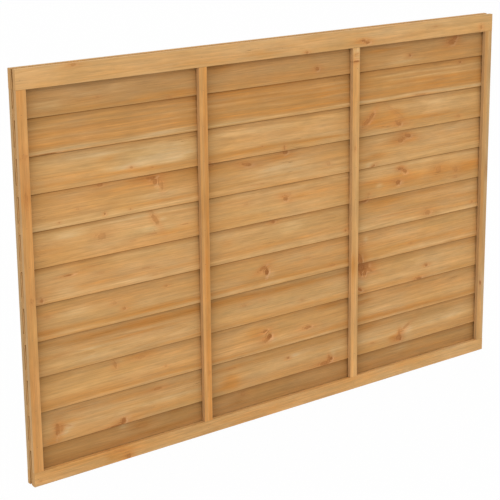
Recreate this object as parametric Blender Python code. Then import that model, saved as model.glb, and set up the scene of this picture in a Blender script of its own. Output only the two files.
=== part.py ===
# Overlap fence panel in three bays. Thin boards, each lapped over the one below it, are
# held between a front frame and a back frame of sawn softwood.
# Lengths are in metres and angles in radians. X runs along the panel, -Y is the front
# and Z is up. The origin is the middle of the front left stile's outer edge, which
# stands against the left post.

from math import asin, ceil, cos, pi, sin

import bmesh
import bpy

# Driving dimensions of the whole panel
panel_width = 1.828
panel_height = 1.219

# Frame timbers, the same in the front frame and the back frame
frame_thickness = 0.014
stile_width = 0.0315
batten_width = 0.0295
batten_count = 2
top_rail_height = 0.058
bottom_rail_height = 0.043
frame_arris = 0.0008

# Lapped boards, all of one width. The lowest one ends level with the rails' foot, within
# the sag of its lower edge as it leans
board_thickness = 0.0055
board_width = 0.140
least_overlap = 0.030
board_arris = 0.0005
board_end_inset = 0.0005
top_board_drop = 0.002
board_foot_height = 0.0005

# Gap kept between pieces that bear on each other, and facets of a quarter-round arris
clearance = 0.0003
arris_steps = 2

# Colours in linear light, and the roughness of dry, dip-stained wood
rail_colour = (0.63, 0.35, 0.13)
upright_colour = (0.61, 0.31, 0.10)
board_colours = ((0.55, 0.27, 0.085), (0.60, 0.36, 0.15), (0.57, 0.31, 0.11))
wood_roughness = 0.72

# Heights and depths that follow from the driving dimensions
panel_top = panel_height / 2
panel_foot = -panel_height / 2
front_frame_face = -frame_thickness / 2
top_rail_underside = panel_top - top_rail_height
bottom_rail_top = panel_foot + bottom_rail_height
bay_width = (panel_width - 2 * stile_width - batten_count * batten_width) / (batten_count + 1)

# Lower edges of the top board and of the lowest one. The boards between them are spaced
# evenly, with at least the least overlap
top_board_edge = panel_top - top_board_drop - board_width
lowest_board_edge = panel_foot + board_foot_height
board_run = top_board_edge - lowest_board_edge
lap_count = ceil(board_run / (board_width - least_overlap))
board_pitch = board_run / lap_count

# Each board leans back just far enough for its top edge to pass behind the board above,
# so one thickness and the pitch set the lean
board_lean = asin((board_thickness + clearance) / board_pitch)
lapped_depth = board_width * sin(board_lean) + board_thickness * cos(board_lean)
board_front_face = front_frame_face + frame_thickness + clearance
back_frame_face = board_front_face + lapped_depth + clearance


def clear_scene():
    for item in list(bpy.data.objects):
        bpy.data.objects.remove(item, do_unlink=True)


def make_material(name, colour):
    material = bpy.data.materials.new(name)
    material.use_nodes = True
    shader = material.node_tree.nodes["Principled BSDF"]
    shader.inputs["Base Color"].default_value = (*colour, 1.0)
    shader.inputs["Roughness"].default_value = wood_roughness
    shader.inputs["Metallic"].default_value = 0.0
    return material


# Cross-section of a sawn timber as (y, z) points, with its four long edges eased
def eased_section(depth, bottom, top, arris):
    corners = (
        (depth - arris, top - arris),
        (arris, top - arris),
        (arris, bottom + arris),
        (depth - arris, bottom + arris),
    )
    outline = []
    for quarter, (y, z) in enumerate(corners):
        for step in range(arris_steps + 1):
            angle = 0.5 * pi * (quarter + step / arris_steps)
            outline.append((y + arris * cos(angle), z + arris * sin(angle)))
    return outline


# A timber with square-sawn ends, its section drawn out along local X
def sawn_timber(name, outline, length, colour, panel):
    shape = bmesh.new()
    end_face = shape.faces.new([shape.verts.new((0.0, y, z)) for y, z in outline])
    drawn = bmesh.ops.extrude_face_region(shape, geom=[end_face])
    far_end = [item for item in drawn["geom"] if isinstance(item, bmesh.types.BMVert)]
    bmesh.ops.translate(shape, vec=(length, 0.0, 0.0), verts=far_end)
    bmesh.ops.recalc_face_normals(shape, faces=shape.faces)
    mesh = bpy.data.meshes.new(name)
    shape.to_mesh(mesh)
    shape.free()
    mesh.materials.append(make_material(name, colour))
    timber = bpy.data.objects.new(name, mesh)
    bpy.context.scene.collection.objects.link(timber)
    timber.parent = panel
    return timber


# A rail runs the full width of the panel
def add_rail(name, face_y, underside, height, panel):
    outline = eased_section(frame_thickness, 0.0, height, frame_arris)
    rail = sawn_timber(name, outline, panel_width, rail_colour, panel)
    rail.location = (0.0, face_y, underside)


# An upright stands between the rails, turned so that its section's height runs to the left
def add_upright(name, face_y, left, width, panel):
    outline = eased_section(frame_thickness, 0.0, width, frame_arris)
    foot = bottom_rail_top + clearance
    length = top_rail_underside - clearance - foot
    upright = sawn_timber(name, outline, length, upright_colour, panel)
    upright.location = (left + width, face_y, foot)
    upright.rotation_euler = (0.0, -0.5 * pi, 0.0)


# One frame is two rails, a stile at each end and battens that part the bays evenly
def add_frame(side, face_y, panel):
    add_rail(side + "_top_rail", face_y, top_rail_underside, top_rail_height, panel)
    add_rail(side + "_bottom_rail", face_y, panel_foot, bottom_rail_height, panel)
    add_upright(side + "_left_stile", face_y, 0.0, stile_width, panel)
    add_upright(side + "_right_stile", face_y, panel_width - stile_width, stile_width, panel)
    for number in range(1, batten_count + 1):
        left = stile_width + number * bay_width + (number - 1) * batten_width
        add_upright("%s_batten_%d" % (side, number), face_y, left, batten_width, panel)


# Boards are numbered from the foot
def add_boards(panel):
    length = panel_width - 2 * board_end_inset
    outline = eased_section(board_thickness, 0.0, board_width, board_arris)
    for lap in range(lap_count + 1):
        colour = board_colours[lap % len(board_colours)]
        board = sawn_timber("board_%02d" % (lap + 1), outline, length, colour, panel)
        board.location = (board_end_inset, board_front_face, lowest_board_edge + lap * board_pitch)
        board.rotation_euler = (-board_lean, 0.0, 0.0)


clear_scene()
fence_panel = bpy.data.objects.new("overlap_fence_panel", None)
bpy.context.scene.collection.objects.link(fence_panel)
add_frame("front", front_frame_face, fence_panel)
add_boards(fence_panel)
add_frame("back", back_frame_face, fence_panel)
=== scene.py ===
# Overlap fence panel: sawn and dip-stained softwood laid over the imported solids
from math import cos, radians, sin

import bpy
import numpy as np
from mathutils import Matrix, Vector


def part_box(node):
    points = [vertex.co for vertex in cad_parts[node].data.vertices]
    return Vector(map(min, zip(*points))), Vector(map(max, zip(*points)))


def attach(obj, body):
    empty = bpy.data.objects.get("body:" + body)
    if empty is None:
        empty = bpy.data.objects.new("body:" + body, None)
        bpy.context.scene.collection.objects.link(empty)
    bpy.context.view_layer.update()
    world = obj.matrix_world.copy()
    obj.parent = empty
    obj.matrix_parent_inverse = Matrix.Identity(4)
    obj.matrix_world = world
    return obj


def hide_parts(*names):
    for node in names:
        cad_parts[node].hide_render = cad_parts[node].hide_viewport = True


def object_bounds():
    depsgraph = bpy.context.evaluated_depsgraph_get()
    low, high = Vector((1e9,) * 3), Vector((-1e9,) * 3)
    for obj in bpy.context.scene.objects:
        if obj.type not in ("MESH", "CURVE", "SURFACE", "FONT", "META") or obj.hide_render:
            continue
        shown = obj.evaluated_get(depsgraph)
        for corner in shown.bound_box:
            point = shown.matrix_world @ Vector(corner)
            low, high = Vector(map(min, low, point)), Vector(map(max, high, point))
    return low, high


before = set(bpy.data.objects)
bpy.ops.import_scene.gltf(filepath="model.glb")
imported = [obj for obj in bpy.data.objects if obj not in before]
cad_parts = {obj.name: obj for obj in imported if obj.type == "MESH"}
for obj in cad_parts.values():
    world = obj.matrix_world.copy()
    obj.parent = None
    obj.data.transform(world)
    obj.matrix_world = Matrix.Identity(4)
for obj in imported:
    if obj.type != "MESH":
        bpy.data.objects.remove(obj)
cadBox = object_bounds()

print("frame loaded,", len(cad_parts), "nodes")


# A socket with arithmetic. Plain sums on values add Math nodes to the socket's own tree
class Wire:
    def __init__(self, tree, socket=None):
        self.tree = tree
        self.socket = socket

    # Any other node: its settings first, then the values or links of its sockets
    def node(self, kind, settings=None, sockets=None, out=0):
        made = self.tree.nodes.new(kind)
        for key, value in (settings or {}).items():
            setattr(made, key, value)
        for key, value in (sockets or {}).items():
            if isinstance(value, Wire):
                value.into(made, key)
            else:
                made.inputs[key].default_value = value
        return Wire(self.tree, made.outputs[out])

    def into(self, node, name):
        self.tree.links.new(self.socket, node.inputs[name])

    def output(self, name):
        return Wire(self.tree, self.socket.node.outputs[name])

    def math(self, operation, *others):
        return self.node("ShaderNodeMath", {"operation": operation}, dict(enumerate((self, *others))))

    def vectorMath(self, operation, *others):
        sockets = dict(enumerate((self, *others)))
        return self.node("ShaderNodeVectorMath", {"operation": operation}, sockets)

    def __add__(self, other):
        return self.math("ADD", other)

    def __sub__(self, other):
        return self.math("SUBTRACT", other)

    def __rsub__(self, other):
        return self.node("ShaderNodeMath", {"operation": "SUBTRACT"}, {0: other, 1: self})

    def __mul__(self, other):
        return self.math("MULTIPLY", other)

    def __truediv__(self, other):
        return self.math("DIVIDE", other)

    __radd__, __rmul__ = __add__, __mul__

    def least(self, other):
        return self.math("MINIMUM", other)

    def most(self, other):
        return self.math("MAXIMUM", other)

    # A soft step from 0 at low to 1 at high
    def step(self, low, high):
        return self.node(
            "ShaderNodeMapRange",
            {"interpolation_type": "SMOOTHSTEP"},
            {"Value": self, "From Min": low, "From Max": high},
        )

    def parts(self):
        split = self.node("ShaderNodeSeparateXYZ", None, {0: self})
        return split, split.output("Y"), split.output("Z")

    def vector(self, x, y, z):
        return self.node("ShaderNodeCombineXYZ", None, {0: x, 1: y, 2: z})

    # Noise on this vector, stretched by three factors and moved by a seed
    def noise(self, stretch, seed, detail=2.0, roughness=0.5, out="Fac"):
        shift = (seed, 1.7 * seed, 2.3 * seed)
        moved = self.vectorMath("MULTIPLY", stretch).vectorMath("ADD", shift)
        sockets = {"Vector": moved, "Scale": 1.0, "Detail": detail, "Roughness": roughness}
        return self.node("ShaderNodeTexNoise", None, sockets, out)

    def blend(self, first, second, factor, kind="MIX"):
        settings = {"data_type": "RGBA", "blend_type": kind}
        made = self.node("ShaderNodeMix", settings, {0: factor}, 2)
        for place, value in ((6, first), (7, second)):
            if isinstance(value, Wire):
                value.into(made.socket.node, place)
            else:
                made.socket.node.inputs[place].default_value = (*value, 1.0)
        return made

    # Makes a shape real, gives it its material and hands it to the tree's output
    def finish(self, material):
        real = self.node("GeometryNodeRealizeInstances", None, {"Geometry": self})
        done = self.node("GeometryNodeSetMaterial", None, {"Geometry": real, "Material": material})
        done.into(self.tree.nodes.new("NodeGroupOutput"), 0)


# Camera at the photograph's standpoint, and a plain white studio
cameraView = {
    "standpoint": (-1.74314, -3.39758, 1.22087),  # metres
    "azimuth": -36.6991,  # degrees round the panel
    "elevation": 13.8117,
    "roll": -0.534,
    "focalLength": 102.01,  # millimetres
    "sensorWidth": 36.0,
    "shiftUp": -0.13839,
    "clip": (0.05, 200.0),
}
studio = {
    "domeStrength": 0.93,
    "keySize": 3.2,  # metres square
    "keyPlace": (-1.4, -3.6, 3.4),
    "keyPower": 34.0,
    "floorSize": 60.0,
    "floorColour": (0.80, 0.80, 0.80),
    "floorRoughness": 0.9,
    "floorWhite": 0.98,  # share of plain white that the camera sees on the floor
}


def addObject(name, data):
    made = bpy.data.objects.new(name, data)
    bpy.context.scene.collection.objects.link(made)
    return made


# A new material, its shader, and a pen that adds nodes to it
def newMaterial(name):
    material = bpy.data.materials.new(name)
    material.use_nodes = True
    return material, material.node_tree.nodes["Principled BSDF"], Wire(material.node_tree)


def addCamera():
    azimuth, elevation, roll = (radians(cameraView[key]) for key in ("azimuth", "elevation", "roll"))
    back = Vector((sin(azimuth) * cos(elevation), -cos(azimuth) * cos(elevation), sin(elevation)))
    right = Vector((0.0, 0.0, 1.0)).cross(back).normalized()
    up = back.cross(right)
    turnedRight = cos(roll) * right + sin(roll) * up
    turnedUp = cos(roll) * up - sin(roll) * right
    data = bpy.data.cameras.new("photographView")
    data.sensor_width = cameraView["sensorWidth"]
    data.lens = cameraView["focalLength"]
    data.shift_y = cameraView["shiftUp"]
    data.clip_start, data.clip_end = cameraView["clip"]
    camera = addObject("photographView", data)
    turn = Matrix((turnedRight, turnedUp, back)).transposed().to_4x4()
    camera.matrix_world = Matrix.Translation(cameraView["standpoint"]) @ turn
    bpy.context.scene.camera = camera


# The camera, gloss and clear glass see the plain white, and the object is lit by the rest
def seenDirectly(pen):
    path = pen.node("ShaderNodeLightPath", out="Is Camera Ray")
    return path.most(path.output("Is Glossy Ray")).most(path.output("Is Transmission Ray"))


def addStudio():
    world = bpy.data.worlds.new("studio")
    world.use_nodes = True
    bpy.context.scene.world = world
    pen = Wire(world.node_tree)
    background = world.node_tree.nodes["Background"]
    background.inputs["Color"].default_value = (1.0, 1.0, 1.0, 1.0)
    strength = seenDirectly(pen) * (1.0 - studio["domeStrength"]) + studio["domeStrength"]
    strength.into(background, "Strength")

    lamp = bpy.data.lights.new("softKey", "AREA")
    lamp.shape = "SQUARE"
    lamp.size = studio["keySize"]
    lamp.energy = studio["keyPower"]
    key = addObject("softKey", lamp)
    aim = (cadBox[0] + cadBox[1]) / 2 - Vector(studio["keyPlace"])
    turn = aim.to_track_quat("-Z", "Y").to_matrix().to_4x4()
    key.matrix_world = Matrix.Translation(studio["keyPlace"]) @ turn

    half = studio["floorSize"] / 2
    ground = bpy.data.meshes.new("floor")
    corners = [(-half, -half), (half, -half), (half, half), (-half, half)]
    ground.from_pydata([(x, y, cadBox[0].z) for x, y in corners], [], [(0, 1, 2, 3)])
    floor = addObject("floor", ground)
    material, paper, pen = newMaterial("palePaper")
    ground.materials.append(material)
    paper.inputs["Base Color"].default_value = (*studio["floorColour"], 1.0)
    paper.inputs["Roughness"].default_value = studio["floorRoughness"]
    white = pen.node("ShaderNodeEmission", None, {"Color": (1.0, 1.0, 1.0, 1.0), "Strength": 1.0})
    share = seenDirectly(pen) * studio["floorWhite"]
    lit = Wire(pen.tree, paper.outputs[0])
    mixed = pen.node("ShaderNodeMixShader", None, {0: share, 1: lit, 2: white})
    mixed.into(pen.tree.nodes["Material Output"], "Surface")


bpy.context.scene.view_settings.view_transform = "Standard"
addCamera()
addStudio()
print("camera and studio ready")


# What a sawn timber is: length runs along the grain, height across it, thickness through it
frameTimber = {
    "arris": 0.0008,
    "endArris": 0.0003,
    "cell": 0.006,  # mesh cell along the grain, metres
    "cellAcross": 0.0035,
    "wander": 0.00018,  # how far the sawn faces dip below true
    "edgeWander": 0.0003,
    "snug": 0.00022,  # how far an upright's ends close the 0.3 mm joints
}
boardTimber = {
    "arris": 0.0005,
    "endArris": 0.0003,
    "cell": 0.007,
    "cellAcross": 0.0045,
    "wander": 0.00016,
    "edgeWander": 0.0006,
}


# A Geometry Nodes tree with named inputs, listed by their kind, and each input as a wire
def newTree(name, inputs):
    tree = bpy.data.node_groups.new(name, "GeometryNodeTree")
    tree.interface.new_socket(name="Geometry", in_out="OUTPUT", socket_type="NodeSocketGeometry")
    for kind, labels in inputs.items():
        for label in labels:
            tree.interface.new_socket(name=label, in_out="INPUT", socket_type="NodeSocket" + kind)
    entry = tree.nodes.new("NodeGroupInput")
    return tree, {output.name: Wire(tree, output) for output in entry.outputs if output.name}


# A sawn timber: a gridded block with broken arrises, faces that dip a little and edges that
# wander, which keeps its own grain coordinates for the stain
def sawnTimberTree():
    tree, given = newTree(
        "sawnTimber",
        {
            "Geometry": ("Geometry",),
            "Float": (
                "Length", "Height", "Thickness", "Arris", "End Arris", "Wander", "Edge Wander", "Seed",
            ),
            "Int": ("Cells Along", "Cells Across"),
            "Material": ("Wood",),
        },
    )
    pen = given["Length"]
    depthCells = 4
    rows = {"X": given["Cells Along"] + 1.0, "Y": given["Cells Across"] + 1.0, "Z": depthCells + 1}
    sockets = {"Vertices " + axis: count for axis, count in rows.items()}
    block = pen.node("GeometryNodeMeshCube", None, sockets)
    gridX, gridY, gridZ = pen.node("GeometryNodeInputPosition").parts()

    # Rows stand one arris from each edge and evenly between, and the outermost are flagged
    def spread(place, cells, size, arris):
        row = (place + 0.5) * cells
        even = (row - 1.0) / (cells - 2.0) * (size - 2.0 * arris) + arris
        first = 1.0 - row.least(1.0)
        last = (row - (cells - 1.0)).most(0.0)
        return even.most(arris).least(size - arris) + (last - first) * arris, last - first

    along, endSide = spread(gridX, given["Cells Along"], given["Length"], given["End Arris"])
    across, edgeSide = spread(gridY, given["Cells Across"], given["Height"], given["Arris"])
    depth, faceSide = spread(gridZ, depthCells, given["Thickness"], given["Arris"])
    onEnd = endSide.math("ABSOLUTE")
    onEdge = edgeSide.math("ABSOLUTE")
    onFace = faceSide.math("ABSOLUTE")
    broken = 0.2929  # share of an arris by which its middle stands in from the square corner
    longPull = given["Arris"] * broken
    endPull = given["End Arris"] * broken
    atX = along - endSide * onEdge.most(onFace) * endPull
    atY = across - edgeSide * (onFace * longPull + onEnd * endPull)
    atZ = depth - faceSide * (onEdge * longPull + onEnd * endPull)

    grain = pen.vector(atX, atY, atZ)
    seed = given["Seed"]

    def drift(stretch, change):
        shift = pen.vector(seed + change, seed * 1.7, seed * 0.6 + change)
        shifted = grain.vectorMath("MULTIPLY_ADD", stretch, shift)
        return pen.node("ShaderNodeTexNoise", None, {"Vector": shifted, "Scale": 1.0, "Detail": 2.0})

    faceWaves = (3.0, 14.0, 0.0)  # per metre, along and across
    edgeWaves = (5.0, 0.0, 0.0)
    edgeReach = 0.02  # metres of the face that follow a wandering edge
    frontDip = drift(faceWaves, 0.0) * given["Wander"] * (depth / given["Thickness"])
    backDip = drift(faceWaves, 9.0) * given["Wander"] * (1.0 - depth / given["Thickness"])
    footReach = (1.0 - across / edgeReach).most(0.0)
    topReach = (1.0 - (given["Height"] - across) / edgeReach).most(0.0)
    footDrift = drift(edgeWaves, 21.0) * given["Edge Wander"] * footReach
    topDrift = drift(edgeWaves, 33.0) * given["Edge Wander"] * topReach
    moved = pen.vector(atX, atY + footDrift - topDrift, atZ + backDip - frontDip)

    # Grain coordinates come from the untouched grid, so they are stored before it moves
    stored = pen.node(
        "GeometryNodeStoreNamedAttribute",
        {"data_type": "FLOAT_VECTOR", "domain": "POINT"},
        {"Geometry": block, "Name": "timber", "Value": pen.vector(along, across, depth)},
    )
    normalX = pen.node("GeometryNodeInputNormal").parts()[0]
    flagged = pen.node(
        "GeometryNodeStoreNamedAttribute",
        {"data_type": "FLOAT", "domain": "FACE"},
        {"Geometry": stored, "Name": "endGrain", "Value": normalX.math("ABSOLUTE").step(0.4, 0.6)},
    )
    shaped = pen.node("GeometryNodeSetPosition", None, {"Geometry": flagged, "Position": moved})
    soft = pen.node("GeometryNodeSetShadeSmooth", None, {"Geometry": shaped, "Shade Smooth": True})
    crispAngle = 0.3  # radians
    sharp = pen.node("GeometryNodeInputMeshEdgeAngle").math("GREATER_THAN", crispAngle)
    crisp = pen.node(
        "GeometryNodeSetShadeSmooth",
        {"domain": "EDGE"},
        {"Geometry": soft, "Selection": sharp, "Shade Smooth": False},
    )
    crisp.finish(given["Wood"])
    return tree


# Runs a tree on an object of its own and keeps the result as a plain mesh
def grow(name, tree, inputs, start=None):
    piece = addObject(name, start or bpy.data.meshes.new(name))
    modifier = piece.modifiers.new("shape", "NODES")
    modifier.node_group = tree
    for item in tree.interface.items_tree:
        if item.in_out == "INPUT" and item.name in inputs:
            modifier[item.identifier] = inputs[item.name]
    shaped = piece.evaluated_get(bpy.context.evaluated_depsgraph_get())
    mesh = bpy.data.meshes.new_from_object(shaped)
    piece.modifiers.remove(modifier)
    piece.data = mesh
    mesh.name = name
    return piece


# Dip-stained softwood. Colours are linear, lengths in metres, warmth and shade are shares
softwood = {
    "cream": (0.645, 0.447, 0.240),  # only the palest patches
    "pale": (0.695, 0.440, 0.195),
    "warm": (0.635, 0.255, 0.046),
    "tan": (0.500, 0.305, 0.108),  # greyer, greenish brown of the older stain
    "late": (0.505, 0.262, 0.082),  # the hard, dark part of a growth ring
    "deadKnot": (0.240, 0.066, 0.005),
    "soundKnot": (0.460, 0.190, 0.048),
    "halo": (0.590, 0.250, 0.070),
    "curl": (0.700, 0.390, 0.180),  # the pale wood that curls past a knot
    "flank": (0.520, 0.345, 0.168),  # the sides of the uprights, which took less stain
    # painted side tone: the uprights' sides are paler and greyer than their fronts
    "endFace": (0.575, 0.318, 0.117),
    "check": (0.170, 0.075, 0.018),  # a fine split along the grain
    "brightness": 1.0,
    "warmth": 0.5,
    "age": 0.25,  # share of the tan in the clouds
    "ringSpacing": 0.0062,
    "ringContrast": 0.32,
    "pithUp": 0.05,
    "pithDepth": -0.045,
    "pithTilt": 0.012,
    "taper": 0.022,  # the pith sinks this much per metre, which draws out the flames
    "ringWander": 0.026,
    "ringTint": 0.08,
    "fine": 1.0,
    "streaks": 1.0,
    "clouds": 0.75,
    "lapShade": 0.0,  # painted shade: how much darker a board gets under the next one
    "lapReach": (0.062, 0.108),  # from clear to full, metres up the board
    "lapEdge": (0.05, (0.088, 0.106)),  # a little more painted shade close to the lap: share and reach
    "creviceShade": 0.24,  # painted shadow in the last 3 mm under a lap
    "creviceReach": (0.1030, 0.1058),
    "backReach": (0.030, 0.052),  # painted shade on the part of a board's back that the board below hides
    "fromBack": (0.0018, 0.0038),  # metres through the board, from its back to its front
    "roughness": 0.74,
}


def stainedWood(name, changes, seed):
    look = {**softwood, **changes}
    material, shader, pen = newMaterial(name)

    def painted(attribute, out="Vector"):
        return pen.node("ShaderNodeAttribute", {"attribute_name": attribute}, out=out)

    timber = painted("timber")
    along, up, depth = timber.parts()
    knotAlong, knotUp, knotDark = painted("knot").parts()
    knotNear, halo, bend = painted("around").parts()
    # The tone's third part is the painted shade beside the uprights
    patchWarmth, patchShade, paintedShade = painted("tone").parts()
    flank = painted("flank", "Fac")
    endFace = painted("endGrain", "Fac")

    # A noise about 0 that mostly stays within 1, stretched along the grain
    def swing(stretchAlong, stretchAcross, step, detail=2.0):
        stretch = (stretchAlong, stretchAcross, stretchAcross)
        return (timber.noise(stretch, seed + step, detail, 0.55) - 0.5) * 2.6

    # Knots: distance in knot radii, made uneven, with a bark rim that comes and goes. Pale wood
    # curls past on one side, and a dark brow lies over the other
    near = knotNear.step(0.15, 0.6)
    flat = pen.vector(knotAlong, knotUp, 0.0)
    wobble = flat.noise((1.3, 1.3, 0.0), seed + 3.0, 3.0) - 0.5
    reach = (knotAlong * knotAlong + knotUp * knotUp).math("SQRT") * (1.0 + 1.1 * wobble)
    side = knotAlong * 0.75 - knotUp * 0.65
    arc = flat.noise((0.8, 0.8, 0.0), seed + 7.0, 1.0).step(0.40, 0.58)
    core = near * (1.0 - reach.step(0.62, 1.08))
    rim = near * reach.step(0.66, 0.90) * (1.0 - reach.step(0.98, 1.30)) * (0.35 + 0.65 * arc)
    crescent = near * reach.step(0.95, 1.5) * (1.0 - reach.step(1.5, 2.5)) * side.step(0.0, 1.3)
    farSide = (0.0 - side).step(0.5, 1.3)
    brow = near * reach.step(1.35, 1.6) * (1.0 - reach.step(1.75, 2.1)) * farSide * arc

    # Growth rings about a pith that lies behind the face, flowing round the knots
    slowA, slowB, slowC = timber.noise((1.2, 6.0, 6.0), seed, 1.0, out="Color").parts()
    quick = timber.noise((8.0, 30.0, 30.0), seed + 5.0, 2.0)
    wander = look["ringWander"]
    fromPithUp = up - bend - look["pithUp"] - along * look["pithTilt"] + (slowA - 0.5) * wander
    fromPithDeep = depth - look["pithDepth"] + along * look["taper"] + (slowB - 0.5) * wander
    radius = (fromPithUp * fromPithUp + fromPithDeep * fromPithDeep).math("SQRT")
    ring = (radius + (quick - 0.5) * 0.0034) / look["ringSpacing"] + (slowC - 0.5) * 3.0
    pace = pen.vector(radius * 70.0, along * 0.4, seed).noise((1.0, 1.0, 1.0), seed, 1.0)
    ring = ring + (pace - 0.5) * 2.4
    share = ring.math("FRACT")
    ringNumber = ring.math("FLOOR") + seed
    ringKind = pen.node("ShaderNodeTexWhiteNoise", {"noise_dimensions": "1D"}, {"W": ringNumber})
    late = share.step(0.20, 0.88) * (1.0 - share.step(0.92, 1.0)) * (0.25 + 0.75 * ringKind)

    # Streaks, fibres, clouds and fine splits
    broad = swing(1.4, 30.0, 11.0)
    band = swing(1.6, 62.0, 13.0, 3.0)
    streak = swing(5.0, 125.0, 17.0, 3.0)
    thin = swing(8.0, 330.0, 23.0)
    fibre = swing(34.0, 1400.0, 29.0)
    cloud = swing(4.5, 14.0, 31.0, 3.0)
    blotch = swing(12.0, 34.0, 37.0, 3.0)
    crackLine = timber.noise((2.2, 150.0, 150.0), seed + 41.0, 1.0) - 0.5
    crackZone = timber.noise((6.0, 16.0, 16.0), seed + 43.0, 1.0)
    crack = (1.0 - crackLine.math("ABSOLUTE").step(0.0, 0.010)) * crackZone.step(0.66, 0.75)

    ragged = 1.0 + streak * 0.9 + blotch * 0.6  # patches fray along the grain
    warmth = broad * 0.34 + band * 0.09 + streak * 0.03 + (ringKind - 0.5) * look["ringTint"]
    warmth = look["warmth"] + patchWarmth * ragged + warmth * look["streaks"]
    warmth = warmth + (cloud * 0.62 + blotch * 0.20) * look["clouds"]
    colour = pen.blend(look["pale"], look["warm"], warmth.step(-0.45, 1.45))
    colour = pen.blend(colour, look["cream"], (0.1 - warmth).step(0.0, 0.7) * 0.8)
    oldStain = (look["age"] * (1.0 + cloud * 1.8 - broad)).most(0.0).least(0.8)
    colour = pen.blend(colour, look["tan"], oldStain)
    lateShare = late * look["ringContrast"] * (1.0 + 0.8 * blotch).most(0.0)
    colour = pen.blend(colour, look["late"], lateShare)
    colour = pen.blend(colour, look["halo"], (halo * (1.0 + streak * 0.7)).most(0.0).least(0.85))
    colour = pen.blend(colour, look["curl"], crescent * (knotDark - 0.35).most(0.0) * 1.6)
    # Painted side tone on the uprights' sides
    colour = pen.blend(colour, look["flank"], flank)
    grainShade = cloud * 0.07 + blotch * 0.15 + band * 0.07 + streak * 0.11
    grainShade = grainShade + (thin * 0.16 + fibre * 0.16) * look["fine"]
    grainShade = grainShade - swing(13.0, 480.0, 47.0).step(0.35, 0.8) * 0.13
    shade = (1.0 + patchShade * ragged + grainShade) * look["brightness"]
    colour = pen.blend(colour, pen.vector(shade, shade, shade), 1.0, "MULTIPLY")

    # Painted shade beside uprights, under laps and on the hidden back of a board takes the blue first
    loss = paintedShade * (1.0 + 0.4 * blotch)
    if look["lapShade"]:
        uneven = (cloud + streak) * 0.003
        front = depth.step(*look["fromBack"])
        edgeShare, edgeReach = look["lapEdge"]
        lap = (up + uneven).step(*look["lapReach"]) * look["lapShade"] + up.step(*edgeReach) * edgeShare
        loss = loss + front * (lap + up.step(*look["creviceReach"]) * look["creviceShade"])
        hidden = 1.0 - (up + uneven).step(*look["backReach"])
        loss = loss + (1.0 - front) * hidden * look["lapShade"]
    dimmed = pen.vector(1.0 - loss * 0.9, 1.0 - loss, (1.0 - loss * 1.25).most(0.0))
    colour = pen.blend(colour, dimmed, 1.0, "MULTIPLY")

    # Knot heartwood with its own rings, and the bark rim
    knotRings = (reach * 13.0).math("SINE") * 0.5 + 0.5
    heartDark = knotDark * (0.75 + 0.25 * knotRings) + side * 0.12
    heart = pen.blend(look["soundKnot"], look["deadKnot"], heartDark.step(0.1, 0.9))
    colour = pen.blend(colour, heart, core * (1.05 * knotDark).least(1.0) * (0.66 + 0.34 * knotRings))
    colour = pen.blend(colour, look["deadKnot"], rim * 0.65 * knotDark + brow * 0.4 * knotDark)
    colour = pen.blend(colour, look["check"], crack * 0.6)
    endTone = pen.blend(look["endFace"], look["late"], late * 0.8)
    colour = pen.blend(colour, endTone, endFace * 0.85)
    colour.into(shader, "Base Color")

    # Relief: hard rings stand a little proud, fibres, saw marks across the grain, knots and splits
    sawMark = ((along + up * 0.16) * 1450.0 + slowA * 9.0).math("SINE") * crackZone.step(0.35, 0.75)
    height = late * 0.07 + fibre * 0.035 + thin * 0.02 + sawMark * 0.022
    height = height + core * 0.10 - crack * 0.5 - rim * knotDark * 0.12
    bump = pen.node("ShaderNodeBump", None, {"Strength": 0.55, "Distance": 0.001, "Height": height})
    bump.into(shader, "Normal")
    roughness = look["roughness"] + fibre * 0.06 + cloud * 0.05 - core * 0.14 - late * 0.05
    roughness.least(0.95).into(shader, "Roughness")
    shader.inputs["Specular IOR Level"].default_value = 0.24
    return material


# Painted shade on the boards beside and behind the uprights, and the painted tone of the uprights' sides
paintedShade = {
    "right": (0.38, 0.46, 0.46, 0.0),  # painted shade: share lost right against each upright's right side
    "rightReach": 0.032,  # metres
    "left": 0.12,
    "leftReach": 0.032,
    "covered": 0.1,  # painted shade: share lost behind an upright
    "flank": 0.6,  # share of the painted side tone on the uprights' sides in the bays
    "outerEdge": 0.65,  # and on the sides that meet the posts
}


# Broad marks: a band is a patch that runs the whole length, and bays shade one bay each
broadMarks = {
    "band": (914, 5000),  # middle and half length, in millimetres
    "bayMiddles": (310, 914, 1520),
    "bay": (50, 270, 90, 0),  # up, half length, half height, warmth
}
knotMarks = {
    "farOff": 30.0,  # a place with no knot near it, in knot radii
    "reach": 2.6,  # knot radii over which its ring, curl and brow show
    "leastReach": 0.010,
}


def allPatches(marks):
    along, halfLength = broadMarks["band"]
    patches = list(marks.get("patches", ()))
    for middle, shade in zip(broadMarks["bayMiddles"], marks.get("bays", ())):
        patches.append((middle, *broadMarks["bay"], shade))
    for up, *rest in marks.get("bands", ()):
        patches.append((along, up, halfLength, *rest))
    return patches


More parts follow.
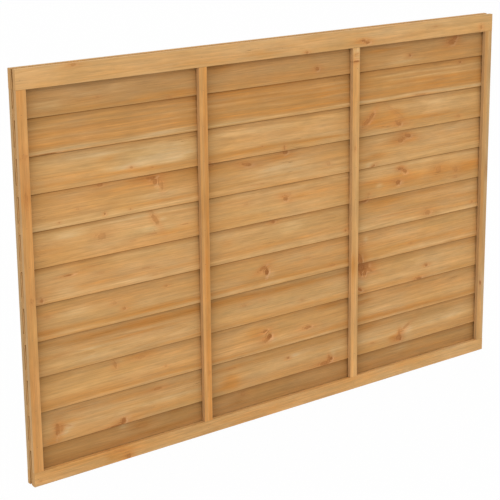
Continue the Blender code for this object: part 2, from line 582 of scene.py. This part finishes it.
# Knots, patches and bands become point attributes. Knots: along, up, length, height, darkness,
# and turn in degrees if any. Patches: along, up, half length, half height, warmth, shade.
# Bands: up, half height, warmth, shade. Bays: three shades. Lengths are in millimetres,
# darkness and warmth in hundredths, shades in thousandths
def markWood(mesh, marks, seed, uprights, flanks):
    places = np.empty(len(mesh.vertices) * 3, np.float32)
    mesh.attributes["timber"].data.foreach_get("vector", places)
    x, y = places.reshape(-1, 3)[:, :2].T  # along and up
    knotAt, around, tone = np.zeros((3, len(x), 3), np.float32)
    knotAt[:, 0] = knotMarks["farOff"]
    nearest = np.full(len(x), 1e9)
    for along, up, length, height, darkness, *turn in marks.get("knots", ()):
        dark = darkness / 100
        offAlong = x - along / 1000
        offUp = y - up / 1000
        c, s = cos(radians(sum(turn))), sin(radians(sum(turn)))
        u = (offAlong * c + offUp * s) / (length / 2000)
        v = (offUp * c - offAlong * s) / (height / 2000)
        reach = np.hypot(u, v)
        closer = reach < nearest
        nearest[closer] = reach[closer]
        knotAt[closer] = np.stack([u, v, np.full(len(u), dark)], 1)[closer]
        close = (reach < knotMarks["reach"]) | (np.hypot(offAlong, offUp) < knotMarks["leastReach"])
        around[:, 0] = np.maximum(around[:, 0], close)
        halo = np.exp(-0.07 * u * u - 0.225 * v * v)
        around[:, 1] += 0.7 * min(1.0, dark / 0.6) * halo
        around[:, 2] += 0.8 * halo * v * height / 2000
    flank = np.zeros(len(x), np.float32)
    onSide = 0.0004  # metres
    for edge, share in flanks:
        flank[np.abs(y - edge) < onSide] = share
    drift = 2.2 * np.sin(x * 7.0 + seed) + 1.2 * np.sin(x * 19.0 + 2.3 * seed)
    for along, up, halfLength, halfHeight, warmth, shade in allPatches(marks):
        offAlong = (x * 1000 - along) / halfLength
        offUp = (y * 1000 - up + drift * min(1.0, halfLength / 300)) / halfHeight
        weight = np.exp(-(offAlong**2) - offUp**2)
        tone[:, 0] += warmth / 100 * weight
        tone[:, 1] += shade / 1000 * weight
    # Painted shade: darker right of each upright, a little left of it, and behind it
    for (left, right), loss in zip(uprights, paintedShade["right"]):
        beyond = np.clip(x - right, 0.0, None)
        before = np.clip(left - x, 0.0, None)
        covered = (x > left) & (x < right)
        past = loss * np.exp(-beyond / paintedShade["rightReach"]) * (before == 0)
        ahead = paintedShade["left"] * np.exp(-before / paintedShade["leftReach"]) * (beyond == 0)
        lost = np.where(covered, paintedShade["covered"], np.maximum(past, ahead))
        tone[:, 2] = np.maximum(tone[:, 2], lost)
    for name, values in (("knot", knotAt), ("around", around), ("tone", tone)):
        attribute = mesh.attributes.new(name, "FLOAT_VECTOR", "POINT")
        attribute.data.foreach_set("vector", values.ravel())
    mesh.attributes.new("flank", "FLOAT", "POINT").data.foreach_set("value", flank)


timberTree = sawnTimberTree()


# One dressed timber in place of its solid
def dressTimber(node, size, cut, axes, base, wood, seed, marks, uprights=(), flanks=()):
    length, height, thickness = size
    inputs = {
        "Length": length,
        "Height": height,
        "Thickness": thickness,
        "Arris": cut["arris"],
        "End Arris": cut["endArris"],
        "Cells Along": round(length / cut["cell"]),
        "Cells Across": max(5, round(height / cut["cellAcross"])),
        "Wander": cut["wander"],
        "Edge Wander": cut["edgeWander"],
        "Seed": seed,
        "Wood": wood,
    }
    piece = grow("dressed_" + node, timberTree, inputs)
    markWood(piece.data, marks, seed, uprights, flanks)
    place = Matrix(axes).transposed().to_4x4()
    place.translation = Vector(base)
    piece.data.transform(place)
    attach(piece, "root")
    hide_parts(node)


# Frame timbers: their looks, and the knots read on them
railMarks = {}
railMarks["front_top_rail"] = {
    "look": {"warmth": 0.27, "brightness": 1.05, "clouds": 0.65, "pithUp": 0.09, "pithDepth": -0.09},
    "knots": (
        (180, 53, 16, 8, 45), (1010, 5, 9, 7, 60), (1241, 21, 15, 7, 65), (1259, 12, 17, 8, 65),
        (1560, 38, 16, 6, 30), (1775, 17, 9, 14, 50),
    ),
    "bands": ((14, 12, 11, 0),),
    "patches": (
        (850, 14, 90, 13, 30, -40), (1230, 16, 45, 10, 50, -50), (1610, 15, 110, 13, -10, 50),
        (600, 10, 160, 8, 20, 0), (914, 30, 250, 40, 0, -15),
    ),
}
railMarks["front_bottom_rail"] = {
    "look": {
        "warmth": 0.32, "brightness": 1.105, "clouds": 1.15, "fine": 1.4, "pithUp": 0.01,
        "pithDepth": -0.06,
    },
    "knots": ((288, 35, 44, 8, 30, -8), (319, 8, 14, 14, 50), (20, 15, 9, 6, 30)),
    "bands": ((31, 9, 10, 0),),
    "patches": (
        (286, 32, 32, 9, 240, 0), (312, 16, 12, 14, 180, -60), (262, 22, 16, 7, 170, 0),
        (300, 11, 24, 6, 150, -30), (318, 10, 12, 8, 90, -120), (914, 20, 250, 40, 0, -15),
        (200, 36, 160, 8, 30, 10), (1700, 20, 200, 40, -35, 0), (800, 18, 120, 14, 25, 0),
        (560, 24, 90, 14, -25, 0), (1250, 10, 200, 12, -10, 0),
    ),
}
railMarks["back_top_rail"] = {
    "look": {"warmth": 0.3, "pithUp": 0.02, "pithDepth": 0.07},
    "knots": ((410, 30, 18, 14, 55), (1230, 22, 12, 10, 70)),
}
railMarks["back_bottom_rail"] = {
    "look": {"warmth": 0.42, "pithUp": 0.05, "pithDepth": 0.06},
    "knots": ((720, 18, 14, 10, 60), (1510, 25, 18, 12, 40)),
}

# Along is up an upright from its foot, and up is from its right side to its left
uprightMarks = {}
uprightMarks["front_left_stile"] = {
    "look": {"warmth": 0.9, "warm": (0.675, 0.25, 0.044), "brightness": 1.01, "pithUp": -0.02},
    "knots": ((933, 14, 12, 16, 30), (812, 14, 36, 9, 35, 4), (518, 12, 14, 10, 30)),
    "bands": ((7.5, 5, -8, 25),),
    "patches": ((817, 16, 32, 20, 30, -50), (1010, 9, 80, 9, -10, 40), (60, 15, 110, 30, 0, 56)),
}
uprightMarks["front_batten_1"] = {
    "look": {"warmth": 0.95, "warm": (0.665, 0.25, 0.042), "brightness": 1.03, "pithUp": 0.012},
    "knots": ((160, 9, 12, 8, 30),),
    "bands": ((21.5, 4.5, -26, 43), (9, 5, 22, -25), (3, 2.5, -15, 25)),
    "patches": (
        (697, 15, 45, 20, 30, -70), (50, 15, 110, 25, 0, 122), (150, 18, 140, 20, -10, 40),
        (560, 10, 140, 7, 30, -40),
    ),
}
uprightMarks["front_batten_2"] = {
    "look": {"warmth": 0.42, "brightness": 1.085, "clouds": 0.35, "streaks": 0.4, "pithUp": 0.05},
    "knots": ((1074, 15, 6, 26, 80), (1098, 14, 4, 18, 35, 12), (790, 17, 14, 7, 35)),
    "bands": ((12, 6, -10, 42), (27, 3, 12, -35), (19, 3, 8, -17)),
    "patches": (
        (397, 18, 35, 14, 90, -90), (1107, 13, 7, 14, -100, 100), (1088, 14, 6, 12, -70, 30),
        (980, 15, 90, 30, 30, 0), (757, 15, 120, 25, 0, -22), (50, 15, 110, 25, 0, 122),
    ),
}
uprightMarks["front_right_stile"] = {
    "look": {"warmth": 0.46, "brightness": 0.98, "pithUp": 0.03},
    "knots": ((214, 20, 17, 8, 85), (637, 8, 22, 8, 30)),
    "bands": ((27, 4, 22, -51), (7, 8, -60, -75)),
    "patches": (
        (217, 17, 35, 18, -60, 80), (530, 21, 120, 10, 30, -70), (400, 10, 120, 14, 20, -85),
        (60, 15, 110, 30, 0, 88), (757, 15, 120, 25, 0, -35), (637, 8, 50, 8, 0, -120),
        (1000, 8, 60, 8, 20, -50),
    ),
}
uprightMarks["back_left_stile"] = {
    "look": {"warmth": 0.6, "brightness": 0.96, "pithUp": 0.01},
    "knots": ((640, 14, 14, 12, 50),),
}
uprightMarks["back_batten_1"] = {
    "look": {"warmth": 0.7, "pithUp": -0.02},
    "knots": ((300, 16, 14, 10, 50),),
}
uprightMarks["back_batten_2"] = {"look": {"warmth": 0.5, "pithUp": 0.04}, "knots": ((870, 12, 12, 10, 60),)}
uprightMarks["back_right_stile"] = {
    "look": {"warmth": 0.6, "pithUp": 0.02},
    "knots": ((450, 18, 14, 12, 40),),
}


def addFrameTimbers():
    for number, (node, marks) in enumerate(railMarks.items()):
        low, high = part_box(node)
        size = (high.x - low.x, high.z - low.z, high.y - low.y)
        wood = stainedWood(node + "_wood", marks["look"], 40.0 + 7.3 * number)
        axes = ((1, 0, 0), (0, 0, 1), (0, -1, 0))
        base, seed = (low.x, high.y, low.z), 3.1 * number
        dressTimber(node, size, frameTimber, axes, base, wood, seed, marks)
    for number, (node, marks) in enumerate(uprightMarks.items()):
        low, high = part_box(node)
        snug = frameTimber["snug"]
        size = (high.z - low.z + 2 * snug, high.x - low.x, high.y - low.y)
        look = {"clouds": 0.5, "streaks": 0.65, "ringTint": 0.10, **marks["look"]}
        wood = stainedWood(node + "_wood", look, 90.0 + 5.9 * number)
        axes = ((0, 0, 1), (-1, 0, 0), (0, -1, 0))
        base = (high.x, high.y, low.z - snug)
        # The painted side tone goes on both sides of each upright
        flanks = [
            (edge, paintedShade["outerEdge" if outer in node else "flank"])
            for edge, outer in ((0.0, "right_stile"), (size[1], "left_stile"))
        ]
        slot, seed = "upright_wood", 2.7 * number
        dressTimber(node, size, frameTimber, axes, base, wood, seed, marks, (), flanks)


addFrameTimbers()
print("frame timbers dressed")


# The lapped boards, from the foot up. Each leans back by one thickness in one pitch
lapping = {
    "length": 1.827,
    "width": 0.140,
    "thickness": 0.0055,
    "lean": 3.0885,  # degrees
    "pitch": 0.10765,
    "firstEdge": -0.6090,  # height of the lowest board's edge
    "frontEdge": 0.0073,  # depth of every board's lower front corner
    "endInset": 0.0005,
}
uprightNames = ("left_stile", "batten_1", "batten_2", "right_stile")
# The boards' bands follow their tone up each face; the bright bands near the foot are partly painted
# highlight where light catches the lower edge
boardMarks = {}
boardMarks["board_01"] = {
    "look": {"warmth": 0.72, "brightness": 0.84},
    "knots": ((763, 90, 16, 12, 30), (380, 84, 34, 12, 15), (503, 107, 12, 6, 40), (1720, 105, 12, 8, 30)),
    "bands": ((59, 12, 8, -111),),
    "patches": (
        (314, 98, 14, 9, -70, 60), (310, 60, 270, 90, 0, -15), (914, 60, 270, 90, 0, -20),
        (1520, 60, 270, 90, 0, 20), (380, 86, 34, 14, 60, -50), (505, 98, 26, 9, 50, -20),
        (740, 69, 30, 14, 40, -50), (1450, 93, 30, 12, -50, 0), (480, 58, 200, 6, 20, -50),
    ),
}
boardMarks["board_02"] = {
    "look": {"warmth": 0.42, "pithUp": 0.02},
    "knots": (
        (1116, 23, 5, 18, 50), (104, 42, 7, 20, 40), (1437, 15, 9, 10, 70), (1433, 40, 5, 20, 50),
        (88, 42, 9, 36, 58, -5), (124, 46, 22, 5, 35, -14), (314, 12, 14, 16, 75), (440, 81, 26, 8, 45),
        (288, 1, 42, 6, 75), (720, 79, 28, 5, 35), (945, 61, 9, 7, 60), (1126, 17, 10, 11, 75),
        (1096, 7, 34, 13, 60), (1428, 23, 24, 13, 54, 25), (1466, 56, 30, 9, 40, 25), (1310, 29, 12, 6, 30),
    ),
    "bands": ((43, 8, -19, 85), (82, 8, 19, -43), (14, 9, 8, 9), (64, 6, -19, 17)),
    "bays": (-12, -43, -44),
    "patches": (
        (1446, 38, 9, 10, -30, -90), (110, 28, 12, 5, -90, 60), (130, 62, 40, 9, 50, -10),
        (1137, 24, 7, 12, -90, 80), (1132, 8, 12, 4, -60, 60), (332, 13, 8, 6, -80, 60),
        (130, 42, 15, 6, -110, 70), (105, 24, 20, 6, -70, 40), (75, 10, 26, 10, 80, -60),
        (315, 30, 22, 12, -50, 30), (500, 42, 120, 6, -40, 50), (165, 91, 60, 8, 50, -20),
        (400, 12, 120, 7, 40, -20), (970, 64, 22, 6, -50, 50), (1155, 51, 28, 12, -30, 20),
        (715, 38, 30, 22, 40, 0), (1410, 26, 24, 8, 130, -70), (1466, 44, 22, 18, -110, 100),
        (1130, 38, 12, 12, -50, 50), (700, 30, 60, 26, 50, -40), (1640, 51, 150, 10, -40, 15),
        (1520, 38, 260, 12, 0, 25), (1290, 94, 60, 9, 40, -80),
    ),
}
boardMarks["board_03"] = {
    "look": {"warmth": 0.5, "brightness": 1.02, "pithUp": 0.09},
    "knots": (
        (853, 34, 16, 11, 45), (293, 86, 8, 20, 45, 16), (385, 88, 24, 8, 30), (470, 40, 8, 6, 30),
        (868, 45, 17, 17, 80), (851, 66, 18, 8, 60, 12), (1026, 41, 26, 9, 60), (1260, 73, 24, 5, 40),
    ),
    "bands": ((38, 9, -11, 51), (14, 7, 34, -60), (3, 4, -15, 25), (60, 10, 4, 25)),
    "bays": (25, 0, -35),
    "patches": (
        (852, 56, 12, 5, -80, 50), (884, 46, 6, 12, -60, 40), (300, 94, 20, 6, -50, 20),
        (90, 92, 60, 10, 25, -30), (390, 96, 60, 8, 50, -40), (1135, 96, 60, 12, 60, -80),
        (900, 31, 60, 10, -50, 40), (820, 66, 40, 20, 60, -20), (886, 32, 16, 8, -90, 40),
        (1272, 78, 34, 6, 70, -100), (1350, 16, 120, 9, 40, 0), (1260, 100, 24, 8, 50, -100),
        (1490, 40, 220, 11, 10, 60),
    ),
}
boardMarks["board_04"] = {
    "look": {"warmth": 0.38, "brightness": 1.01, "pithUp": 0.04},
    "knots": (
        (1280, 92, 20, 24, 60, -15), (1258, 73, 6, 20, 75), (1274, 72, 6, 20, 75), (770, 62, 16, 8, 30),
        (1002, 32, 10, 8, 25), (1259, 92, 32, 28, 70), (1292, 78, 30, 8, 50, -25),
        (1250, 17, 18, 9, 75, -30), (1555, 44, 12, 9, 60), (1519, 4, 22, 9, 65), (850, 62, 14, 7, 25),
        (100, 50, 26, 4, 20),
    ),
    "bands": ((27, 8, -8, 85), (6, 5, 22, -17), (16, 5, 19, -17), (90, 12, 22, -51)),
    "bays": (-52, -28, 0),
    "patches": (
        (1292, 92, 8, 7, -90, 80), (300, 84, 300, 10, 60, -90), (900, 86, 260, 12, 50, -70),
        (420, 60, 150, 6, 50, -50), (500, 84, 90, 5, 70, -40), (210, 50, 90, 4, -70, 60),
        (210, 28, 120, 9, -45, 50), (400, 14, 380, 4, -40, 20), (1258, 42, 16, 10, -50, -20),
        (1256, 95, 26, 16, 80, -140), (1550, 74, 240, 12, -20, 80), (1520, 34, 280, 8, 0, 60),
        (1700, 9, 60, 7, 40, 0),
    ),
}
boardMarks["board_05"] = {
    "look": {"warmth": 0.52, "pithUp": 0.12},
    "knots": (
        (75, 67, 12, 9, 25), (297, 63, 12, 10, 30), (330, 39, 9, 8, 50), (480, 78, 8, 6, 45),
        (859, 48, 14, 21, 85, -6), (843, 62, 24, 9, 60, 26), (1250, 10, 15, 42, 65, 8),
        (1028, 62, 18, 8, 20), (1130, 19, 18, 10, 35), (1268, 69, 14, 10, 25), (1480, 29, 12, 8, 25),
    ),
    "bands": ((20, 7, 38, -51), (8, 4, -45, 51), (80, 12, 0, 17)),
    "bays": (0, 0, 15),
    "patches": (
        (847, 52, 9, 8, -80, 60), (470, 19, 140, 9, 50, -40), (75, 16, 34, 12, 60, -80),
        (914, 60, 240, 40, 15, -40), (876, 36, 14, 12, -90, 50), (880, 8, 60, 5, -70, 60),
        (1252, 16, 18, 24, 80, -120), (1276, 78, 9, 9, -90, 50), (1510, 62, 260, 34, 0, 50),
        (1500, 16, 240, 7, -50, 80), (1500, 34, 250, 6, 50, -40), (160, 60, 60, 20, -40, 20),
        (350, 48, 40, 16, 40, 0),
    ),
}
boardMarks["board_06"] = {
    "look": {"warmth": 0.44, "brightness": 1.02, "pithUp": 0.06},
    "knots": (
        (147, 69, 27, 5, 70), (57, 12, 9, 12, 60), (1268, 104, 20, 7, 70), (225, 81, 28, 6, 22),
        (255, 56, 24, 6, 22), (410, 41, 26, 5, 30), (440, 14, 20, 6, 20), (888, 99, 13, 9, 60),
        (1185, 19, 8, 7, 55), (1425, 38, 190, 3, 30), (1555, 18, 22, 15, 50), (1770, 21, 7, 6, 55),
    ),
    "bands": ((9, 7, -26, 102), (84, 10, -11, 34), (28, 6, 15, -9)),
    "bays": (-30, 0, 0),
    "patches": (
        (1254, 20, 30, 14, -50, 60), (300, 88, 280, 12, -20, 50), (1520, 54, 280, 14, 25, -90),
        (1520, 24, 280, 8, 0, 60), (1520, 96, 280, 9, 20, -120), (55, 16, 14, 20, -40, -30),
        (705, 61, 30, 12, 40, 0), (965, 73, 80, 20, -50, 20), (1350, 88, 80, 16, 90, -50),
        (135, 26, 42, 12, -50, 50), (210, 84, 60, 14, 40, -30),
    ),
}
boardMarks["board_07"] = {
    "look": {"warmth": 0.5, "brightness": 1.05, "pithUp": 0.03},
    "knots": (
        (1685, 15, 16, 7, 35), (1350, 52, 150, 2.5, 30, -5), (945, 74, 26, 10, 20), (262, 57, 24, 18, 36),
        (447, 76, 34, 13, 45, -58), (365, 26, 20, 8, 15), (440, 34, 18, 5, 35), (552, 44, 20, 4, 35),
        (780, 69, 16, 10, 18), (936, 60, 16, 12, 60, -20), (1424, 84, 12, 9, 65),
        (1447, 74, 20, 12, 60, -35), (1415, 39, 18, 15, 70), (1285, 19, 9, 7, 35), (1272, -1, 22, 8, 60),
        (1604, 56, 22, 22, 35), (1686, 42, 16, 16, 40),
    ),
    "bands": ((93, 8, -38, 60), (76, 6, -8, 0), (50, 10, 8, 0)),
    "bays": (-28, 15, 45),
    "patches": (
        (470, 72, 14, 5, -70, 50), (1436, 34, 7, 7, -70, 50), (300, 40, 300, 60, -10, 60),
        (120, 45, 60, 30, 30, 0), (150, 80, 60, 12, -60, 50), (430, 50, 50, 10, -60, 40),
        (500, 30, 90, 8, 50, -30), (1520, 20, 300, 24, 30, -110), (1430, 50, 70, 22, 50, -30),
        (1300, 50, 50, 14, 50, -40), (1612, 52, 44, 18, 90, -60), (1330, 40, 14, 8, -90, 50),
        (1730, 44, 60, 20, 90, -40), (985, 59, 40, 6, 40, -60), (880, 40, 120, 12, -30, 30),
        (1100, 70, 90, 14, 30, 0),
    ),
}
boardMarks["board_08"] = {
    "look": {"warmth": 0.42, "brightness": 1.01, "pithUp": 0.1},
    "knots": (
        (263, 101, 16, 9, 50), (436, 96, 30, 9, 65), (449, 81, 14, 14, 60), (472, 68, 9, 28, 42, 5),
        (185, 44, 10, 8, 20), (124, 14, 5, 4, 50), (273, 15, 5, 7, 70), (360, 14, 5, 4, 45),
        (937, 101, 18, 11, 65), (785, 85, 34, 11, 60, -10), (650, 101, 20, 8, 40), (825, 16, 50, 3, 35),
        (1112, 39, 14, 12, 30), (1459, 86, 25, 13, 60, -15), (1426, 72, 20, 12, 50), (1320, 38, 30, 8, 12),
        (1302, 4, 14, 7, 60, 20),
    ),
    "bands": ((13, 10, -30, 68), (43, 9, -4, 25), (72, 8, 15, -17), (27, 4, 15, -34)),
    "bays": (35, -27, 0),
    "patches": (
        (1284, 9, 14, 6, -90, 70), (460, 70, 10, 16, -100, 60), (410, 95, 60, 9, 80, -40),
        (620, 94, 90, 10, 70, -30), (430, 44, 90, 6, -70, 60), (500, 22, 120, 4, 50, -40),
        (900, 50, 90, 14, -40, 30), (900, 90, 70, 10, 40, -20), (1120, 36, 26, 10, -30, 30),
        (1430, 80, 60, 16, 80, -50), (1320, 36, 36, 8, 80, -20), (1275, 26, 40, 7, 50, -50),
    ),
}
boardMarks["board_09"] = {
    "look": {"warmth": 0.38, "brightness": 1.03, "pithUp": 0.05},
    "knots": (
        (931, 9, 6, 15, 55), (640, 1, 18, 8, 50), (1406, 58, 88, 14, 20, -36), (1404, 32, 12, 5, 50),
        (368, 30, 9, 7, 45), (440, 20, 7, 4, 40), (845, 26, 6, 4, 45), (1298, 66, 22, 11, 55, 50),
        (1274, 47, 26, 14, 55, 35), (1415, 23, 20, 12, 60), (1692, 15, 14, 10, 35),
    ),
    "bands": ((82, 8, -22, 102), (18, 7, 45, -25), (4, 4, 15, 0), (38, 5, 8, 17)),
    "bays": (0, -12, 0),
    "patches": (
        (745, 21, 110, 4.5, 90, -100), (900, 25, 90, 4.5, 90, -100), (1050, 19, 90, 4.5, 80, -80),
        (1402, 58, 34, 14, 140, 60), (475, 50, 135, 24, -130, 30), (340, 36, 60, 7, -100, 70),
        (260, 84, 260, 10, -45, -140), (200, 40, 190, 24, 10, 55), (300, 64, 40, 9, 60, -40),
        (480, 17, 130, 7, 50, -50), (900, 40, 260, 12, -20, 50), (500, 60, 110, 9, 40, -20),
        (1330, 56, 70, 30, 50, -20), (1400, 40, 120, 10, 50, -50), (1600, 34, 180, 8, 70, -70),
        (1630, 80, 170, 11, 0, -60), (1290, 50, 40, 22, 60, 0),
    ),
}
boardMarks["board_10"] = {
    "look": {
        "warmth": 0.86, "brightness": 0.95, "pithUp": 0.22, "pithDepth": -0.05, "ringSpacing": 0.012,
        "ringContrast": 0.5, "ringWander": 0.01, "pithTilt": 0.004,
    },
    "knots": ((1697, 94, 10, 7, 60), (1517, 3, 30, 7, 40), (96, 0.5, 48, 3, 95)),
    "bands": (
        (8, 6, -83, 102), (17, 4, 15, -17), (28, 4, 30, -43), (45, 3, -30, 25), (53, 4, 22, -25),
        (66, 3, -38, 51), (73, 3, 15, -25), (82, 3, -38, 43),
    ),
    "bays": (0, 0, 45),
    "patches": (
        (914, 51, 230, 4, 0, 50), (1520, 33, 230, 3, 10, -50), (1520, 78, 230, 3, 0, 70),
        (1520, 94, 230, 4, 0, 80), (914, 14, 230, 4, 0, 50), (1520, 3, 240, 3, -10, 150),
        (1520, 64, 230, 3, -10, 50), (1520, 72, 230, 3, 10, -110), (1520, 85, 230, 4, 10, -140),
        (310, 10, 230, 4, 0, -100), (310, 75, 230, 3, 0, 120), (310, 83, 230, 4, 20, -180),
        (310, 93, 230, 4, 0, 100), (914, 65, 230, 7, 10, -40), (914, 76, 230, 3, 20, -60),
        (914, 90, 230, 3, -10, 80), (94, -0.5, 26, 2.6, 30, -420), (310, 30, 230, 4, -20, 170),
        (310, 41, 230, 5, 20, -140), (310, 53, 230, 4, -10, 120), (310, 66, 230, 5, 30, -220),
        (914, 28, 230, 3, -10, 160), (914, 36, 230, 4, 10, -110), (914, 59, 230, 4, 10, -50),
        (1520, 27, 230, 3, -10, 130), (1520, 46, 230, 4, -10, 90), (1520, 12.5, 230, 4, 20, -190),
        (914, 50, 270, 90, 20, -15), (1650, 38, 220, 14, 80, -40), (130, 8, 90, 6, -40, 40),
        (500, 8, 90, 6, -40, 40), (735, 14, 90, 7, -80, 70), (1340, 8, 80, 6, -40, 30),
        (1670, 8, 130, 6, -50, 40), (1030, 45, 70, 16, 50, -30), (1500, 78, 260, 9, -30, 70),
        (200, 40, 200, 10, -30, 30), (1280, 70, 60, 14, 50, -30),
    ),
}
boardMarks["board_11"] = {
    # Its low brightness and its band at 76 mm are painted shade under the top rail
    "look": {"warmth": 0.56, "brightness": 0.86, "pithUp": 0.07},
    "knots": (
        (262, 34, 8, 6, 30), (505, 3, 14, 8, 30), (1063, 30, 14, 12, 65), (1460, 33, 10, 8, 65),
        (1650, 58, 26, 15, 62), (1668, 71, 20, 12, 60, 30),
    ),
    "bands": ((76, 8, 8, -128), (8, 9, 8, 34), (50, 9, 0, -25)),
    "bays": (-35, -25, 12),
    "patches": (
        (505, 17, 90, 12, 50, 0), (675, 72, 40, 14, 50, -80), (260, 62, 200, 20, -30, 0),
        (100, 25, 60, 16, -50, 20), (1430, 20, 90, 14, -60, 80), (1350, 62, 120, 9, 70, -40),
        (1660, 62, 30, 16, 60, -60), (250, 9, 300, 6, 35, 0), (1600, 30, 160, 30, 10, -30),
    ),
}


def addBoards():
    lean = radians(lapping["lean"])
    upward = Vector((0.0, sin(lean), cos(lean)))
    outward = Vector((0.0, -cos(lean), sin(lean)))
    inset = lapping["endInset"]
    boxes = [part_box("front_" + node) for node in uprightNames]
    uprights = [(low.x - inset, high.x - inset) for low, high in boxes]
    for number, (node, marks) in enumerate(boardMarks.items()):
        edge = lapping["firstEdge"] + number * lapping["pitch"]
        corner = Vector((inset, lapping["frontEdge"], edge))
        base = corner - outward * lapping["thickness"]
        size = (lapping["length"], lapping["width"], lapping["thickness"])
        # Every board gets painted shade under the lap above it
        look = {"lapShade": 0.15, **marks["look"]}
        wood = stainedWood(node + "_wood", look, 150.0 + 6.7 * number)
        axes = ((1, 0, 0), upward, outward)
        seed = 4.3 * number
        dressTimber(node, size, boardTimber, axes, base, wood, seed, marks, uprights)


addBoards()
print("boards dressed")


# Wire nails: through the uprights at every lap, and through the rails at the joints
nails = {
    "headRadius": 0.0012,
    "headHeight": 0.0005,
    "headSizes": (0.88, 1.08),  # from the smallest to the largest
    "dome": 0.22,  # how much narrower a head is at its top
    "aboveLap": 0.016,  # both boards are caught in the overlap
    "alongRails": (0.016, 0.31, 0.615, 0.914, 1.213, 1.52, 1.812),
    "uprightStray": 0.0018,
    "railStray": 0.002,
    "sunk": 0.00003,  # how far the heads stay below the true face
    "colour": (0.34, 0.195, 0.085),
    "rust": (0.27, 0.125, 0.045),
    "seed": 5,
}


def nailTree():
    tree, given = newTree(
        "nailHeads",
        {
            "Geometry": ("Geometry",),
            "Float": ("Radius", "Height"),
            "Int": ("Seed",),
            "Material": ("Steel",),
        },
    )
    pen = given["Radius"]
    head = pen.node(
        "GeometryNodeMeshCylinder",
        {"fill_type": "NGON"},
        {"Vertices": 12, "Side Segments": 2, "Radius": given["Radius"], "Depth": given["Height"]},
    )
    x, y, z = pen.node("GeometryNodeInputPosition").parts()
    atTop = z.math("GREATER_THAN", given["Height"] * 0.4)
    narrowed = 1.0 - atTop * nails["dome"]
    moved = pen.vector(x * narrowed, y * narrowed, z)
    domed = pen.node("GeometryNodeSetPosition", None, {"Geometry": head, "Position": moved})
    kind = {"data_type": "FLOAT_VECTOR"}
    facing = pen.node("GeometryNodeInputNamedAttribute", kind, {"Name": "facing"}, "Attribute")
    kind = {"axis": "Z"}
    turned = pen.node("FunctionNodeAlignRotationToVector", kind, {"Vector": facing}, "Rotation")
    least, most = nails["headSizes"]
    limits = {"Min": least, "Max": most, "Seed": given["Seed"]}
    sizes = pen.node("FunctionNodeRandomValue", {"data_type": "FLOAT"}, limits, 1)
    placed = pen.node(
        "GeometryNodeInstanceOnPoints",
        None,
        {"Points": given["Geometry"], "Instance": domed, "Rotation": turned, "Scale": sizes},
    )
    placed.finish(given["Steel"])
    return tree


# Wire heads under the same stain, with a little rust
def nailSteel():
    material, shader, pen = newMaterial("nail_steel")
    place = pen.node("ShaderNodeTexCoord", out="Object")
    rust = place.noise((420.0, 420.0, 420.0), 4.0, 3.0, 0.6)
    colour = pen.blend(nails["colour"], nails["rust"], rust.step(0.42, 0.62))
    colour.into(shader, "Base Color")
    (0.5 + rust * 0.3).into(shader, "Roughness")
    bump = pen.node("ShaderNodeBump", None, {"Strength": 0.3, "Distance": 0.0003, "Height": rust})
    bump.into(shader, "Normal")
    shader.inputs["Metallic"].default_value = 0.15
    return material


def addNails():
    rng = np.random.default_rng(nails["seed"])
    spots, facings = [], []

    def drive(x, face, z, side):
        inset = nails["sunk"] + nails["headHeight"] / 2
        spots.append((x, face - side * inset, z))
        facings.append((0.0, side, 0.0))

    for side, prefix in ((-1.0, "front"), (1.0, "back")):
        for node in uprightNames:
            low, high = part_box(prefix + "_" + node)
            face = low.y if side < 0 else high.y
            for lap in range(1, len(boardMarks)):
                wobble = rng.normal(0.0, nails["uprightStray"], 2)
                z = lapping["firstEdge"] + lap * lapping["pitch"] + nails["aboveLap"] + wobble[1]
                drive((low.x + high.x) / 2 + wobble[0], face, z, side)
        for node in ("top_rail", "bottom_rail"):
            low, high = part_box(prefix + "_" + node)
            face = low.y if side < 0 else high.y
            middle = (low.z + high.z) / 2
            for x in nails["alongRails"]:
                wobble = rng.normal(0.0, nails["railStray"], 2)
                drive(x + wobble[0], face, middle + wobble[1], side)
    start = bpy.data.meshes.new("nailSpots")
    start.from_pydata(spots, [], [])
    attribute = start.attributes.new("facing", "FLOAT_VECTOR", "POINT")
    attribute.data.foreach_set("vector", np.array(facings, np.float32).ravel())
    inputs = {
        "Radius": nails["headRadius"],
        "Height": nails["headHeight"],
        "Seed": nails["seed"],
        "Steel": nailSteel(),
    }
    piece = grow("nail_heads", nailTree(), inputs, start)
    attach(piece, "root")
    return len(spots)


print(addNails(), "nails driven")
